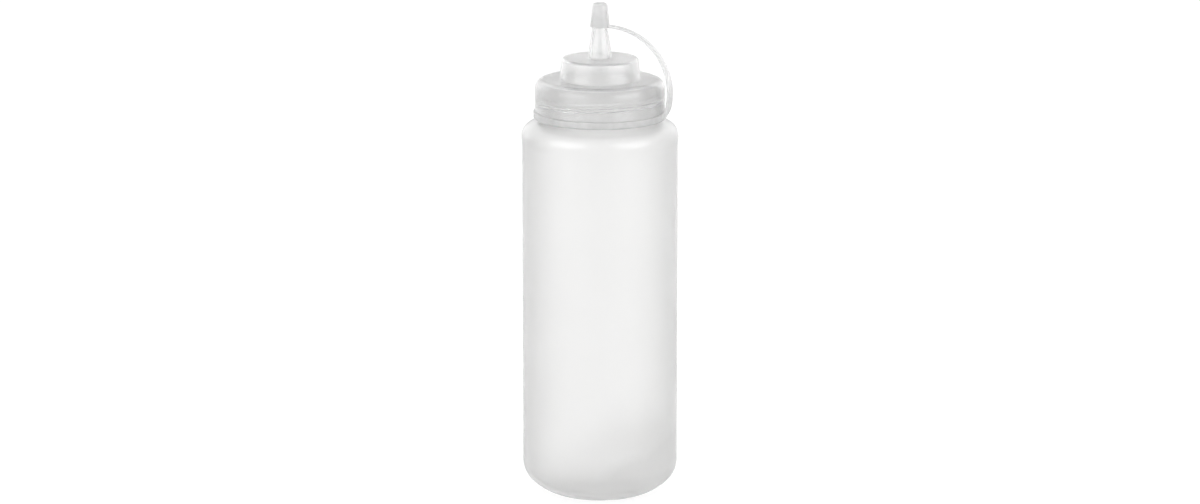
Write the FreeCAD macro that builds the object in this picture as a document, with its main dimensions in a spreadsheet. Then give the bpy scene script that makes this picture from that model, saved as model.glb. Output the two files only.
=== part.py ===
import FreeCAD, Part

# A squeeze bottle for sauces: a blow-moulded bottle, a screw lid with a nozzle, and a tip cap
# on a strap whose ring is held under the lid. Millimetres, +Z up, and the origin is the middle
# of the circle that the bottle stands on. The strap lies over +X.

import math
import os

import Sketcher

SIZES = {
    # The bottle's body.
    "body_radius": 40.0,  # at the shoulder, where it is widest
    "shoulder_height": 187.4,  # of that widest circle
    "shoulder_radius": 6.85,
    "shoulder_share": 0.9,  # of the step from body to neck, the most that the curve may take
    "shoulder_slope": 24.0,  # degrees, from the shoulder's curve up to the neck
    "panel_inset": 0.33,  # how far the side lies inside the shoulder
    "panel_fade": 4.6,  # height over which it gets there
    "heel_radius": 13.5,
    "heel_height": 17.3,  # of the circle where the heel's curve starts
    "heel_sweep": 46.6,  # degrees that it turns before the flatter sole
    "foot_inset": 19.8,  # from the side in to the circle that it stands on
    "foot_width": 2.5,
    "pushup_rise": 3.5,  # height of the hollow inside that circle
    "body_wall": 1.1,
    "base_wall": 1.6,
    "seam_length": 24.0,  # the pinched seam across the hollow
    "seam_width": 1.2,
    "seam_rise": 0.5,
    "seam_root": 0.3,
    "seam_turn": 54.0,  # degrees from the strap's side
    # The neck.
    "neck_radius": 29.9,
    "neck_wall": 1.6,
    "neck_height": 18.7,
    # The thread, alike on the neck and in the lid.
    "thread_depth": 1.2,
    "thread_root": 2.2,
    "thread_crest": 1.0,
    "thread_pitch": 5.0,
    "thread_turns": 1.4,
    "thread_start": 8.0,  # above the foot of the neck
    "thread_play": 0.4,  # from a crest to the wall across from it
    "flank_play": 0.3,
    "thread_sink": 0.3,  # how deep a ridge is rooted in its wall
    # The screw lid.
    "skirt_wall": 1.55,
    "skirt_round": 0.4,
    "top_wall": 1.6,
    "lid_corner": 4.7,
    "step_radius": 20.6,
    "step_height": 10.8,
    "step_draft": 1.1,  # how much narrower it is at its top
    "step_wall": 1.4,
    "step_round": 1.7,
    "step_cove": 0.8,
    "nozzle_foot_radius": 6.3,
    "nozzle_tip_radius": 2.26,
    "nozzle_length": 24.8,
    "nozzle_wall": 1.3,
    "nozzle_cove": 0.8,
    "nozzle_lip": 0.4,
    "outlet_radius": 1.2,
    # The tip cap, its strap and its ring.
    "cap_wall": 1.15,
    "cap_draft": 1.3,  # how much narrower it is at its top
    "cap_grip": 9.0,  # length of nozzle inside it
    "cap_headroom": 1.8,
    "cap_top_wall": 1.4,
    "cap_fit": 0.1,
    "cap_round": 1.0,
    "strap_thickness": 1.2,
    "strap_root_width": 9.5,
    "strap_tip_width": 3.6,
    "strap_drop": 0.25,  # how far its lower face lies under the foot of the cap
    "strap_bow": 11.96,  # how far it arches off its chord, from the cap to its bend
    "strap_flare": 2.2,  # from the ring out to the bend
    "strap_lift": 7.5,  # from the ring's foot up to the bend
    "strap_sink": 1.05,  # how far its middle line runs into the ring
    "strap_seat": 1.3,  # from the ring's foot up to the end of that line
    "ring_height": 3.65,
    "ring_overhang": 0.9,  # how far it stands out past the skirt
    "ring_chamfer": 0.8,
    "ring_fit": 0.5,
    "seat_gap": 0.1,  # between faces that rest on each other
}

LEVELS = {
    # Heights and radii that follow from the sizes. Each may use those above it.
    "side_radius": "Sizes.body_radius - Sizes.panel_inset",
    "inner_radius": "Levels.side_radius - Sizes.body_wall",
    # The heel's curve ends where the sole's, tangent to it, runs on to the foot.
    "heel_cx": "Levels.side_radius - Sizes.heel_radius",
    "heel_dx": "cos(Sizes.heel_sweep)",
    "heel_dz": "-sin(Sizes.heel_sweep)",
    "heel_end_x": "Levels.heel_cx + Sizes.heel_radius * Levels.heel_dx",
    "heel_end_z": "Sizes.heel_height + Sizes.heel_radius * Levels.heel_dz",
    "foot_radius": "Levels.side_radius - Sizes.foot_inset",
    "foot_dx": "Levels.foot_radius - Levels.heel_cx",
    "foot_reach": "Levels.foot_dx * Levels.heel_dx - Sizes.heel_height * Levels.heel_dz",
    "sole_shift": "(Levels.foot_dx ^ 2 + Sizes.heel_height ^ 2 - Sizes.heel_radius ^ 2)"
    " / (2 * (Sizes.heel_radius - Levels.foot_reach))",
    "sole_radius": "Sizes.heel_radius + Levels.sole_shift",
    "sole_cx": "Levels.heel_cx - Levels.sole_shift * Levels.heel_dx",
    "sole_cz": "Sizes.heel_height - Levels.sole_shift * Levels.heel_dz",
    "inner_heel": "Sizes.heel_radius - Sizes.body_wall",
    "inner_heel_x": "Levels.heel_cx + Levels.inner_heel * Levels.heel_dx",
    "inner_heel_z": "Sizes.heel_height + Levels.inner_heel * Levels.heel_dz",
    "inner_sole": "Levels.sole_radius - Sizes.body_wall",
    "inner_foot": "Levels.sole_cx"
    " + sqrt(Levels.inner_sole ^ 2 - (Levels.sole_cz - Sizes.body_wall) ^ 2)",
    # The hollow under the base.
    "pushup_radius": "Levels.foot_radius - Sizes.foot_width",
    "dome_radius": "(Levels.pushup_radius ^ 2 + Sizes.pushup_rise ^ 2) / (2 * Sizes.pushup_rise)",
    "dome_cz": "Sizes.pushup_rise - Levels.dome_radius",
    "inner_dome": "Levels.dome_radius + Sizes.base_wall",
    "floor_radius": "sqrt(Levels.inner_dome ^ 2 - (Sizes.body_wall - Levels.dome_cz) ^ 2)",
    "seam_low": "Levels.dome_radius - Sizes.seam_rise",
    "seam_high": "Levels.dome_radius + Sizes.seam_root",
    "seam_low_z": "Levels.dome_cz + sqrt(Levels.seam_low ^ 2 - Sizes.seam_length ^ 2 / 4)",
    "seam_high_z": "Levels.dome_cz + sqrt(Levels.seam_high ^ 2 - Sizes.seam_length ^ 2 / 4)",
    # The shoulder's curve, no larger than the step from body to neck has room for.
    "shoulder_room": "(Sizes.body_radius - Sizes.neck_radius) / (1 - sin(Sizes.shoulder_slope))",
    "shoulder_curve": "min(Sizes.shoulder_radius; Sizes.shoulder_share * Levels.shoulder_room)",
    "shoulder_cx": "Sizes.body_radius - Levels.shoulder_curve",
    "slope_x": "Levels.shoulder_cx + Levels.shoulder_curve * sin(Sizes.shoulder_slope)",
    "slope_z": "Sizes.shoulder_height + Levels.shoulder_curve * cos(Sizes.shoulder_slope)",
    "neck_foot": "Levels.slope_z"
    " + (Levels.slope_x - Sizes.neck_radius) * tan(Sizes.shoulder_slope)",
    "bore_radius": "Sizes.neck_radius - Sizes.neck_wall",
    "inner_shoulder": "Levels.shoulder_curve - Sizes.body_wall",
    "inner_slope_x": "Levels.shoulder_cx + Levels.inner_shoulder * sin(Sizes.shoulder_slope)",
    "inner_slope_z": "Sizes.shoulder_height + Levels.inner_shoulder * cos(Sizes.shoulder_slope)",
    "bore_foot": "Levels.inner_slope_z"
    " + (Levels.inner_slope_x - Levels.bore_radius) * tan(Sizes.shoulder_slope)",
    "mouth": "Levels.neck_foot + Sizes.neck_height",
    # The ring lies on the foot of the neck, and the lid ends just above the ring.
    "ring_foot": "Levels.neck_foot + Sizes.seat_gap",
    "ring_top": "Levels.ring_foot + Sizes.ring_height",
    "ring_inner": "Sizes.neck_radius + Sizes.ring_fit",
    "lid_foot": "Levels.ring_top + Sizes.seat_gap",
    "lid_ceiling": "Levels.mouth + Sizes.seat_gap",
    "lid_top": "Levels.lid_ceiling + Sizes.top_wall",
    "skirt_inner": "Sizes.neck_radius + Sizes.thread_depth + Sizes.thread_play",
    "skirt_radius": "Levels.skirt_inner + Sizes.skirt_wall",
    "ring_radius": "Levels.skirt_radius + Sizes.ring_overhang",
    # The mouth's rim is rounded about the same centre as the corner inside the lid.
    "inner_corner": "Sizes.lid_corner - Sizes.skirt_wall",
    "rim_cx": "Levels.skirt_inner - Levels.inner_corner",
    "rim_cz": "Levels.lid_ceiling - Levels.inner_corner",
    "rim_round": "Levels.inner_corner - Sizes.seat_gap",
    "rim_foot": "Levels.rim_cz + sqrt(Levels.rim_round ^ 2 - (Sizes.neck_radius - Levels.rim_cx) ^ 2)",
    "rim_x": "max(Levels.rim_cx; Levels.bore_radius)",
    "rim_z": "Levels.rim_cz + sqrt(Levels.rim_round ^ 2 - (Levels.rim_x - Levels.rim_cx) ^ 2)",
    "neck_thread": "Levels.neck_foot + Sizes.thread_start",
    "lid_thread": "Levels.neck_thread - Sizes.thread_root - Sizes.flank_play",
    "step_top_radius": "Sizes.step_radius - Sizes.step_draft",
    "step_top": "Levels.lid_top + Sizes.step_height",
    "step_ceiling": "Levels.step_top - Sizes.step_wall",
    "nozzle_top": "Levels.step_top + Sizes.nozzle_length",
    "nozzle_slope": "(Sizes.nozzle_foot_radius - Sizes.nozzle_tip_radius) / Sizes.nozzle_length",
    # The cap is bored to the nozzle's taper.
    "cap_foot": "Levels.nozzle_top - Sizes.cap_grip",
    "cap_bore_end": "Levels.nozzle_top + Sizes.cap_headroom",
    "cap_top": "Levels.cap_bore_end + Sizes.cap_top_wall",
    "cap_bore_tip": "Sizes.nozzle_tip_radius + Sizes.cap_fit"
    " - Levels.nozzle_slope * Sizes.cap_headroom",
    "cap_bore_radius": "Sizes.nozzle_tip_radius + Sizes.cap_fit"
    " + Levels.nozzle_slope * Sizes.cap_grip",
    "cap_foot_radius": "Levels.cap_bore_radius + Sizes.cap_wall",
    "cap_top_radius": "Levels.cap_foot_radius - Sizes.cap_draft",
    # The strap's middle line is a wide arc from the wall of the cap to a bend near the ring,
    # and a tighter arc, tangent to it, from the bend into the ring.
    "tip_x": "Levels.cap_foot_radius - Sizes.cap_wall / 2",
    "tip_z": "Levels.cap_foot + Sizes.strap_thickness / 2 - Sizes.strap_drop",
    "bend_x": "Levels.ring_radius + Sizes.strap_flare",
    "bend_z": "Levels.ring_foot + Sizes.strap_lift",
    "root_x": "Levels.ring_radius - Sizes.strap_sink",
    "root_z": "Levels.ring_foot + Sizes.strap_seat",
    "chord_x": "Levels.bend_x - Levels.tip_x",
    "chord_z": "Levels.bend_z - Levels.tip_z",
    "chord": "sqrt(Levels.chord_x ^ 2 + Levels.chord_z ^ 2)",
    "arch_radius": "(Levels.chord ^ 2 / 4 + Sizes.strap_bow ^ 2) / (2 * Sizes.strap_bow)",
    "arch_depth": "(Levels.arch_radius - Sizes.strap_bow) / Levels.chord",
    "arch_cx": "(Levels.tip_x + Levels.bend_x) / 2 + Levels.arch_depth * Levels.chord_z",
    "arch_cz": "(Levels.tip_z + Levels.bend_z) / 2 - Levels.arch_depth * Levels.chord_x",
    "bend_dx": "(Levels.bend_x - Levels.arch_cx) / Levels.arch_radius",
    "bend_dz": "(Levels.bend_z - Levels.arch_cz) / Levels.arch_radius",
    "fall_x": "Levels.bend_x - Levels.root_x",
    "fall_z": "Levels.bend_z - Levels.root_z",
    "fall": "Levels.fall_x * Levels.bend_dx + Levels.fall_z * Levels.bend_dz",
    "hook_radius": "(Levels.fall_x ^ 2 + Levels.fall_z ^ 2) / (2 * Levels.fall)",
    "hook_cx": "Levels.bend_x - Levels.hook_radius * Levels.bend_dx",
    "hook_cz": "Levels.bend_z - Levels.hook_radius * Levels.bend_dz",
}

ON_AXIS = "0"  # a corner's x on the axis of turning
MATCH = 0.001  # how near an edge must lie to the place it is looked for


def make_sizes(doc):
    """The sheet of driving dimensions, one plain number to a row."""
    sheet = doc.addObject("Spreadsheet::Sheet", "Sizes")
    for row, (alias, size) in enumerate(SIZES.items(), 1):
        sheet.set(f"A{row}", alias)
        sheet.set(f"B{row}", str(size))
        sheet.setAlias(f"B{row}", alias)
    doc.recompute()


def make_levels(doc):
    """The set of dimensions that follow from the sheet."""
    levels = doc.addObject("App::VarSet", "Levels")
    for name, rule in LEVELS.items():
        levels.addProperty("App::PropertyFloat", name, "Levels")
        levels.setExpression(name, rule)
        doc.recompute()
    return levels


def add_sketch(body, role, name):
    """An empty sketch on one of the body's own origin planes."""
    sketch = body.newObject("Sketcher::SketchObject", name)
    plane = next(item for item in body.Origin.OriginFeatures if item.Role == role)
    sketch.AttachmentSupport = [(plane, "")]
    sketch.MapMode = "FlatFace"
    return sketch


def arc_edge(start, end, radius, turn):
    """The short arc from start to end, turning left for +1 and right for -1."""
    chord = end - start
    reach = math.sqrt(radius ** 2 - (chord.Length / 2) ** 2)
    to_centre = FreeCAD.Vector(-chord.y, chord.x, 0) * (turn * reach / chord.Length)
    centre = (start + end) / 2 + to_centre
    first, last = (start, end) if turn > 0 else (end, start)
    angles = [math.atan2(place.y - centre.y, place.x - centre.x) for place in (first, last)]
    circle = Part.Circle(centre, FreeCAD.Vector(0, 0, 1), radius)
    return Part.ArcOfCircle(circle, angles[0], angles[1])


def pin(sketch, kind, edge, vertex, value, rule, name):
    """Ties one coordinate of a vertex to a rule, measured from the sketch's origin."""
    if rule == ON_AXIS:
        axis = -2 if kind == "DistanceX" else -1
        sketch.addConstraint(Sketcher.Constraint("PointOnObject", edge, vertex, axis))
        return
    sketch.addConstraint(Sketcher.Constraint(kind, -1, 1, edge, vertex, value))
    sketch.renameConstraint(sketch.ConstraintCount - 1, name)
    sketch.setExpression(f"Constraints.{name}", rule)


def draw_outline(sketch, corners):
    """A closed outline through corners given as rules for x and y.

    A corner that ends an arc also gives the arc's radius and its turn, +1 left or -1 right.
    """
    places = [
        FreeCAD.Vector(sketch.evalExpression(x), sketch.evalExpression(y), 0)
        for x, y, *_ in corners
    ]
    ends = []
    for index, (x, y, *bend) in enumerate(corners):
        start, end = places[index - 1], places[index]
        if bend:
            radius = sketch.evalExpression(bend[0])
            edge = sketch.addGeometry(arc_edge(start, end, radius, bend[1]), False)
            sketch.addConstraint(Sketcher.Constraint("Radius", edge, radius))
            sketch.renameConstraint(sketch.ConstraintCount - 1, f"bend{index}")
            sketch.setExpression(f"Constraints.bend{index}", bend[0])
        else:
            edge = sketch.addGeometry(Part.LineSegment(start, end), False)
        backwards = bool(bend) and bend[1] < 0
        first, last = (2, 1) if backwards else (1, 2)
        ends.append((edge, first, last))
        pin(sketch, "DistanceX", edge, last, end.x, x, f"x{index}")
        pin(sketch, "DistanceY", edge, last, end.y, y, f"y{index}")
    for index, (edge, first, _) in enumerate(ends):
        before, _, before_last = ends[index - 1]
        sketch.addConstraint(Sketcher.Constraint("Coincident", before, before_last, edge, first))


def grew(body, feature, adds):
    """Recomputes and makes sure that the feature added or removed material."""
    before = feature.BaseFeature.Shape.Volume if feature.BaseFeature else 0.0
    body.Document.recompute()
    change = feature.Shape.Volume - before
    if (change > 0) != adds or change == 0:
        raise RuntimeError(f"{feature.Name} changed the volume by {change:.3f}")
    return feature


def turned(body, name, corners, adds=True):
    """Turns an outline, given in the XZ plane, once round Z: added, or cut away."""
    sketch = add_sketch(body, "XZ_Plane", f"{name}_outline")
    draw_outline(sketch, corners)
    body.Document.recompute()
    kind = "PartDesign::Revolution" if adds else "PartDesign::Groove"
    feature = body.newObject(kind, name)
    feature.Profile = sketch
    feature.ReferenceAxis = (sketch, ["V_Axis"])
    feature.Angle = 360
    return grew(body, feature, adds)


def thread_ridge(body, name, corners):
    """Winds an outline, given in the XZ plane, up round Z as a right-hand thread."""
    sketch = add_sketch(body, "XZ_Plane", f"{name}_outline")
    draw_outline(sketch, corners)
    body.Document.recompute()
    ridge = body.newObject("PartDesign::AdditiveHelix", name)
    ridge.HasBeenEdited = True
    ridge.Profile = sketch
    ridge.ReferenceAxis = (sketch, ["V_Axis"])
    ridge.Mode = "pitch-turns-angle"
    ridge.setExpression("Pitch", "Sizes.thread_pitch")
    ridge.setExpression("Turns", "Sizes.thread_turns")
    return grew(body, ridge, True)


def rounded(body, name, circles, rule):
    """Rounds the round edges at the given radii and heights."""
    base = body.Tip
    names = []
    for radius, height in circles:
        for number, edge in enumerate(base.Shape.Edges, 1):
            curve = edge.Curve
            if not isinstance(curve, Part.Circle):
                continue
            apart = math.hypot(curve.Radius - radius, curve.Center.z - height)
            on_axis = math.hypot(curve.Center.x, curve.Center.y) < MATCH
            if on_axis and apart < MATCH:
                names.append(f"Edge{number}")
    if not names:
        raise RuntimeError(f"{name} found no edge")
    fillet = body.newObject("PartDesign::Fillet", name)
    fillet.Base = (base, names)
    fillet.setExpression("Radius", rule)
    body.Document.recompute()
    return fillet


def make_seam(body):
    """The pinched seam across the hollow of the base, turned away from the strap's side."""
    half = "Sizes.seam_length / 2"
    sketch = add_sketch(body, "XZ_Plane", "seam_outline")
    upright = FreeCAD.Vector(0, 1, 0)
    turn = FreeCAD.Rotation(upright, body.Document.Sizes.seam_turn)
    sketch.AttachmentOffset = FreeCAD.Placement(FreeCAD.Vector(), turn)
    sketch.setExpression("AttachmentOffset.Rotation.Angle", "Sizes.seam_turn")
    draw_outline(sketch, [
        (half, "Levels.seam_high_z"),
        (f"-{half}", "Levels.seam_high_z", "Levels.seam_high", 1),
        (f"-{half}", "Levels.seam_low_z"),
        (half, "Levels.seam_low_z", "Levels.seam_low", -1),
    ])
    body.Document.recompute()
    seam = body.newObject("PartDesign::Pad", "seam")
    seam.Profile = sketch
    seam.SideType = "Symmetric"
    seam.setExpression("Length", "Sizes.seam_width")
    grew(body, seam, True)


def make_bottle(doc):
    """The hollow bottle, with a hollow base, a curved shoulder and a threaded neck."""
    body = doc.addObject("PartDesign::Body", "bottle")
    turned(body, "bottle_shell", [
        (ON_AXIS, "0"),
        ("Levels.foot_radius", "0"),
        ("Levels.heel_end_x", "Levels.heel_end_z", "Levels.sole_radius", 1),
        ("Levels.side_radius", "Sizes.heel_height", "Sizes.heel_radius", 1),
        ("Levels.side_radius", "Sizes.shoulder_height - Sizes.panel_fade"),
        ("Sizes.body_radius", "Sizes.shoulder_height"),
        ("Levels.slope_x", "Levels.slope_z", "Levels.shoulder_curve", 1),
        ("Sizes.neck_radius", "Levels.neck_foot"),
        ("Sizes.neck_radius", "Levels.rim_foot"),
        ("Levels.rim_x", "Levels.rim_z", "Levels.rim_round", 1),
        (ON_AXIS, "Levels.rim_z"),
    ])
    turned(body, "pushup", [
        (ON_AXIS, "0"),
        ("Levels.pushup_radius", "0"),
        (ON_AXIS, "Sizes.pushup_rise", "Levels.dome_radius", 1),
    ], adds=False)
    turned(body, "bottle_cavity", [
        (ON_AXIS, "Sizes.pushup_rise + Sizes.base_wall"),
        ("Levels.floor_radius", "Sizes.body_wall", "Levels.inner_dome", -1),
        ("Levels.inner_foot", "Sizes.body_wall"),
        ("Levels.inner_heel_x", "Levels.inner_heel_z", "Levels.inner_sole", 1),
        ("Levels.inner_radius", "Sizes.heel_height", "Levels.inner_heel", 1),
        ("Levels.inner_radius", "Sizes.shoulder_height - Sizes.panel_fade"),
        ("Sizes.body_radius - Sizes.body_wall", "Sizes.shoulder_height"),
        ("Levels.inner_slope_x", "Levels.inner_slope_z", "Levels.inner_shoulder", 1),
        ("Levels.bore_radius", "Levels.bore_foot"),
        ("Levels.bore_radius", "Levels.rim_z"),
        (ON_AXIS, "Levels.rim_z"),
    ], adds=False)
    make_seam(body)
    thread_ridge(body, "neck_ridge", [
        ("Sizes.neck_radius - Sizes.thread_sink", "Levels.neck_thread - Sizes.thread_root / 2"),
        ("Sizes.neck_radius", "Levels.neck_thread - Sizes.thread_root / 2"),
        ("Sizes.neck_radius + Sizes.thread_depth", "Levels.neck_thread - Sizes.thread_crest / 2"),
        ("Sizes.neck_radius + Sizes.thread_depth", "Levels.neck_thread + Sizes.thread_crest / 2"),
        ("Sizes.neck_radius", "Levels.neck_thread + Sizes.thread_root / 2"),
        ("Sizes.neck_radius - Sizes.thread_sink", "Levels.neck_thread + Sizes.thread_root / 2"),
    ])
    return body


def make_lid(doc):
    """The screw lid: a skirt with a thread inside, a stepped top and a hollow nozzle."""
    body = doc.addObject("PartDesign::Body", "screw_lid")
    turned(body, "lid_shell", [
        (ON_AXIS, "Levels.lid_foot"),
        ("Levels.skirt_radius - Sizes.skirt_round", "Levels.lid_foot"),
        ("Levels.skirt_radius", "Levels.lid_foot + Sizes.skirt_round", "Sizes.skirt_round", 1),
        ("Levels.skirt_radius", "Levels.lid_top - Sizes.lid_corner"),
        ("Levels.skirt_radius - Sizes.lid_corner", "Levels.lid_top", "Sizes.lid_corner", 1),
        ("Sizes.step_radius", "Levels.lid_top"),
        ("Levels.step_top_radius", "Levels.step_top"),
        ("Sizes.nozzle_foot_radius", "Levels.step_top"),
        ("Sizes.nozzle_tip_radius", "Levels.nozzle_top"),
        (ON_AXIS, "Levels.nozzle_top"),
    ])
    levels = doc.Levels
    sizes = doc.Sizes
    rounded(body, "step_rim", [(levels.step_top_radius, levels.step_top)], "Sizes.step_round")
    rounded(body, "step_foot", [(sizes.step_radius, levels.lid_top)], "Sizes.step_cove")
    rounded(body, "nozzle_foot", [(sizes.nozzle_foot_radius, levels.step_top)], "Sizes.nozzle_cove")
    rounded(body, "nozzle_end", [(sizes.nozzle_tip_radius, levels.nozzle_top)], "Sizes.nozzle_lip")
    turned(body, "lid_cavity", [
        (ON_AXIS, "Levels.lid_foot"),
        ("Levels.skirt_inner", "Levels.lid_foot"),
        ("Levels.skirt_inner", "Levels.rim_cz"),
        ("Levels.rim_cx", "Levels.lid_ceiling", "Levels.inner_corner", 1),
        ("Sizes.step_radius - Sizes.step_wall", "Levels.lid_ceiling"),
        ("Levels.step_top_radius - Sizes.step_wall", "Levels.step_ceiling"),
        ("Sizes.nozzle_foot_radius - Sizes.nozzle_wall", "Levels.step_ceiling"),
        ("Sizes.outlet_radius", "Levels.nozzle_top"),
        (ON_AXIS, "Levels.nozzle_top"),
    ], adds=False)
    thread_ridge(body, "lid_ridge", [
        ("Levels.skirt_inner + Sizes.thread_sink", "Levels.lid_thread - Sizes.thread_root / 2"),
        ("Levels.skirt_inner + Sizes.thread_sink", "Levels.lid_thread + Sizes.thread_root / 2"),
        ("Levels.skirt_inner", "Levels.lid_thread + Sizes.thread_root / 2"),
        ("Levels.skirt_inner - Sizes.thread_depth", "Levels.lid_thread + Sizes.thread_crest / 2"),
        ("Levels.skirt_inner - Sizes.thread_depth", "Levels.lid_thread - Sizes.thread_crest / 2"),
        ("Levels.skirt_inner", "Levels.lid_thread - Sizes.thread_root / 2"),
    ])
    return body


def strap_corner(arc, spot, side):
    """Rules for the strap's corner beside a spot of an arc, on its outer (+1) or inner (-1) side."""
    scale = f"(1 + {side} * Sizes.strap_thickness / 2 / Levels.{arc}_radius)"
    x = f"Levels.{arc}_cx + (Levels.{spot}_x - Levels.{arc}_cx) * {scale}"
    y = f"Levels.{arc}_cz + (Levels.{spot}_z - Levels.{arc}_cz) * {scale}"
    return x, y


def strap_side(arc, side):
    """The rule for the radius of the strap's outer (+1) or inner (-1) side along an arc."""
    return f"Levels.{arc}_radius + {side} * Sizes.strap_thickness / 2"


def make_strap(body):
    """The flat strap, bent in two arcs over +X and narrowing from the ring to the cap."""
    sketch = add_sketch(body, "XZ_Plane", "strap_outline")
    draw_outline(sketch, [
        strap_corner("arch", "tip", 1),
        (*strap_corner("arch", "bend", 1), strap_side("arch", 1), -1),
        (*strap_corner("hook", "root", 1), strap_side("hook", 1), -1),
        strap_corner("hook", "root", -1),
        (*strap_corner("arch", "bend", -1), strap_side("hook", -1), 1),
        (*strap_corner("arch", "tip", -1), strap_side("arch", -1), 1),
    ])
    body.Document.recompute()
    band = body.newObject("PartDesign::Pad", "strap_band")
    band.Profile = sketch
    band.SideType = "Symmetric"
    band.setExpression("Length", "Sizes.strap_root_width")
    grew(body, band, True)

    taper = add_sketch(body, "YZ_Plane", "strap_taper_outline")
    draw_outline(taper, [
        ("Sizes.strap_root_width / 2", "Levels.root_z"),
        ("Sizes.strap_root_width", "Levels.root_z"),
        ("Sizes.strap_root_width", "Levels.cap_top"),
        ("Sizes.strap_tip_width / 2", "Levels.cap_top"),
        ("Sizes.strap_tip_width / 2", "Levels.tip_z"),
    ])
    body.Document.recompute()
    trim = body.newObject("PartDesign::Pocket", "strap_taper")
    trim.Profile = taper
    trim.Type = "ThroughAll"
    trim.Reversed = True
    grew(body, trim, False)

    mirrored = body.newObject("PartDesign::Mirrored", "strap_taper_mirror")
    mirrored.Originals = [trim]
    plane = next(item for item in body.Origin.OriginFeatures if item.Role == "XZ_Plane")
    mirrored.MirrorPlane = (plane, [""])
    body.Tip = mirrored
    body.Document.recompute()


def make_tip_cap(doc):
    """The cap on the nozzle, the strap that holds it and the ring under the lid."""
    body = doc.addObject("PartDesign::Body", "tip_cap")
    make_strap(body)
    turned(body, "ring", [
        ("Levels.ring_inner", "Levels.ring_foot"),
        ("Levels.ring_radius - Sizes.ring_chamfer", "Levels.ring_foot"),
        ("Levels.ring_radius", "Levels.ring_foot + Sizes.ring_chamfer"),
        ("Levels.ring_radius", "Levels.ring_top"),
        ("Levels.ring_inner", "Levels.ring_top"),
    ])
    turned(body, "cap_shell", [
        (ON_AXIS, "Levels.cap_foot"),
        ("Levels.cap_foot_radius", "Levels.cap_foot"),
        ("Levels.cap_top_radius", "Levels.cap_top"),
        (ON_AXIS, "Levels.cap_top"),
    ])
    levels = doc.Levels
    rounded(body, "cap_crown", [(levels.cap_top_radius, levels.cap_top)], "Sizes.cap_round")
    turned(body, "cap_bore", [
        (ON_AXIS, "Levels.cap_foot"),
        ("Levels.cap_bore_radius", "Levels.cap_foot"),
        ("Levels.cap_bore_tip", "Levels.cap_bore_end"),
        (ON_AXIS, "Levels.cap_bore_end"),
    ], adds=False)
    return body


def check(doc, bodies):
    """Raises if any object failed or any sub-part is not one valid solid."""
    failed = [item.Name for item in doc.Objects if {"Invalid", "Error"} & set(item.State)]
    if failed:
        raise RuntimeError(f"failed: {failed}")
    for body in bodies:
        shape = body.Shape
        if shape.isNull() or not shape.isValid() or len(shape.Solids) != 1:
            raise RuntimeError(f"{body.Label} is not one valid solid")


def main():
    doc = FreeCAD.newDocument("squeeze_bottle")
    make_sizes(doc)
    make_levels(doc)
    bodies = [make_bottle(doc), make_lid(doc), make_tip_cap(doc)]
    doc.recompute()
    check(doc, bodies)
    os.makedirs("parts", exist_ok=True)
    for body in bodies:
        body.Shape.exportStep(f"parts/{body.Label}.step")
        print(f"{body.Label}: {body.Shape.Volume:.0f} cubic mm")


main()
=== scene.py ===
"""Models and dresses a squeeze bottle, its screw lid and its strapped tip cap."""

from math import asin, atan2, ceil, cos, degrees, hypot, pi, radians, sin, sqrt, tan
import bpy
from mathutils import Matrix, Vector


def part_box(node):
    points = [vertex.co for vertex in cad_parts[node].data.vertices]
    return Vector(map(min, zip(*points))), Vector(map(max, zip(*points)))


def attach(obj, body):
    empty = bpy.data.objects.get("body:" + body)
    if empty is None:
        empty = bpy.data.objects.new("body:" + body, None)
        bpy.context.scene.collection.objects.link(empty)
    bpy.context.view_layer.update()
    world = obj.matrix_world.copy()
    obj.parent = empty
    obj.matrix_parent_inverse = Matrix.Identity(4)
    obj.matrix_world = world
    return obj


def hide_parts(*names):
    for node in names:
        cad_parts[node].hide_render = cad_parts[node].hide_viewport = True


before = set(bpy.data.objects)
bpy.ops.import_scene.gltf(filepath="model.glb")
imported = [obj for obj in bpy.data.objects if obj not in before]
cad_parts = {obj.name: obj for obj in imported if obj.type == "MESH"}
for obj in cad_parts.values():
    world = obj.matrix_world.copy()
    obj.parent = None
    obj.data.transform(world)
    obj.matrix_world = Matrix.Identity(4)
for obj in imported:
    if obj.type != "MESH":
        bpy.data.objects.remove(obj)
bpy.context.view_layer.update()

from types import SimpleNamespace

import bpy
from bpy.props import FloatProperty, FloatVectorProperty, IntProperty, PointerProperty
from mathutils import Vector

bl_info = {
    "name": "Squeeze bottle",
    "version": (1, 0, 0),
    "blender": (4, 5, 0),
    "location": "3D View > Sidebar > Bottle",
    "description": "Models a translucent squeeze bottle with a screw lid and a strapped tip cap",
    "category": "Object",
}

MM = 0.001
WHITE = (1.0, 1.0, 1.0, 1.0)
BOTTLE_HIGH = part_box("bottle")[1]
LID_LOW, LID_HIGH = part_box("screw_lid")
CAP_LOW, CAP_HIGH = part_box("tip_cap")
ROUND = 200  # columns in a full turn
ARC_STEP = 5.0  # degrees of an arc to one edge
NEAR = 1e-6  # metres within which two vertices are one
AT_CORNER = 1e-5  # metres within which a vertex is the corner that is looked for
FULL_TURN = 2 * pi
SOFT_CUTS = 4  # edges that round a soft corner
SMOOTH_BELOW = radians(30)  # edges at a smaller angle are shaded smooth
RUNOUT_REACH = 0.8  # of a ridge's depth, round its crest, moves at a run-out
ARCH_STEPS, HOOK_STEPS = 40, 14  # columns in the strap's two arcs
STRAP_CUTS = 3  # edges that round the strap's long edges
STRAP_CORNER = radians(50)  # the strap's edges at a larger angle are rounded
FLOOR_SIDES = 96
NOISE_LOW, NOISE_HIGH = 0.3, 0.7  # where most of a noise pattern's values lie
CLOUD_DETAIL, GRAIN_DETAIL = 3.0, 2.0  # octaves of noise


def length(name, description, default):
    """A length in metres, shown in the scene's own unit."""
    return FloatProperty(
        name=name, description=description, default=default, min=0.0, precision=5,
        subtype="DISTANCE", unit="LENGTH",
    )


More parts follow.
